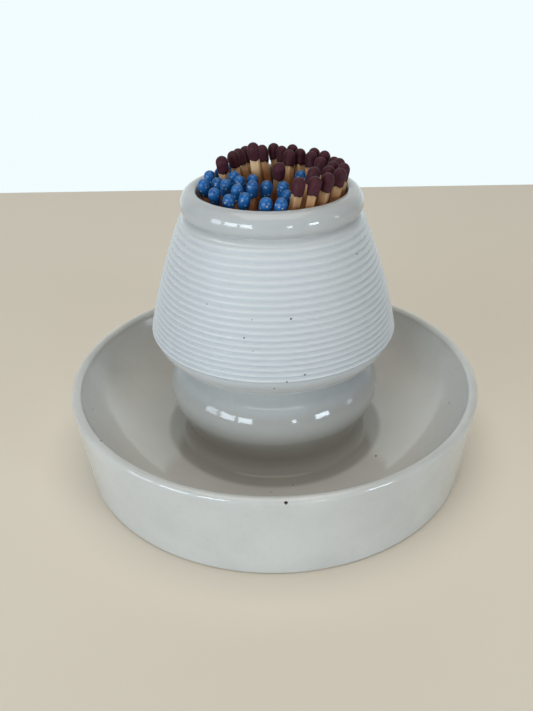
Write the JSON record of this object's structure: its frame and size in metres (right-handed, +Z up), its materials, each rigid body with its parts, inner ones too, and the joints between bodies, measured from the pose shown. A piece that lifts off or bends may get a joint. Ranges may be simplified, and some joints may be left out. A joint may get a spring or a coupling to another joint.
{
  "type": "match striker",
  "caption": "Round stoneware match striker: a shallow dish with a ribbed striking cone on a pedestal, whose well holds loose wooden matches.",
  "frame": {"origin": "middle of the foot ring, on the surface that the dish stands on", "axes": "+Z up along the turned axis of the dish and cone, -Y towards the viewer of the picture"},
  "size_m": [0.12, 0.12, 0.0928],
  "materials": {
    "glazed_stoneware": "gloss",
    "blue_tipped_match": "matte",
    "red_tipped_match": "matte"
  },
  "bodies": {
    "root": {"blue_match_01": "blue_tipped_match", "blue_match_02": "blue_tipped_match", "blue_match_03": "blue_tipped_match", "blue_match_04": "blue_tipped_match", "blue_match_05": "blue_tipped_match", "blue_match_06": "blue_tipped_match", "blue_match_07": "blue_tipped_match", "blue_match_08": "blue_tipped_match", "blue_match_09": "blue_tipped_match", "blue_match_10": "blue_tipped_match", "blue_match_11": "blue_tipped_match", "blue_match_12": "blue_tipped_match", "blue_match_13": "blue_tipped_match", "blue_match_14": "blue_tipped_match", "blue_match_15": "blue_tipped_match", "blue_match_16": "blue_tipped_match", "blue_match_17": "blue_tipped_match", "blue_match_18": "blue_tipped_match", "blue_match_19": "blue_tipped_match", "blue_match_20": "blue_tipped_match", "red_match_01": "red_tipped_match", "red_match_02": "red_tipped_match", "red_match_03": "red_tipped_match", "red_match_04": "red_tipped_match", "red_match_05": "red_tipped_match", "red_match_06": "red_tipped_match", "red_match_07": "red_tipped_match", "red_match_08": "red_tipped_match", "red_match_09": "red_tipped_match", "red_match_10": "red_tipped_match", "red_match_11": "red_tipped_match", "red_match_12": "red_tipped_match", "red_match_13": "red_tipped_match", "red_match_14": "red_tipped_match", "red_match_15": "red_tipped_match", "red_match_16": "red_tipped_match", "red_match_17": "red_tipped_match", "red_match_18": "red_tipped_match", "red_match_19": "red_tipped_match", "red_match_20": "red_tipped_match", "red_match_21": "red_tipped_match", "red_match_22": "red_tipped_match", "red_match_23": "red_tipped_match", "red_match_24": "red_tipped_match", "red_match_25": "red_tipped_match", "red_match_26": "red_tipped_match", "striker_body": "glazed_stoneware"}
  },
  "joints": []
}
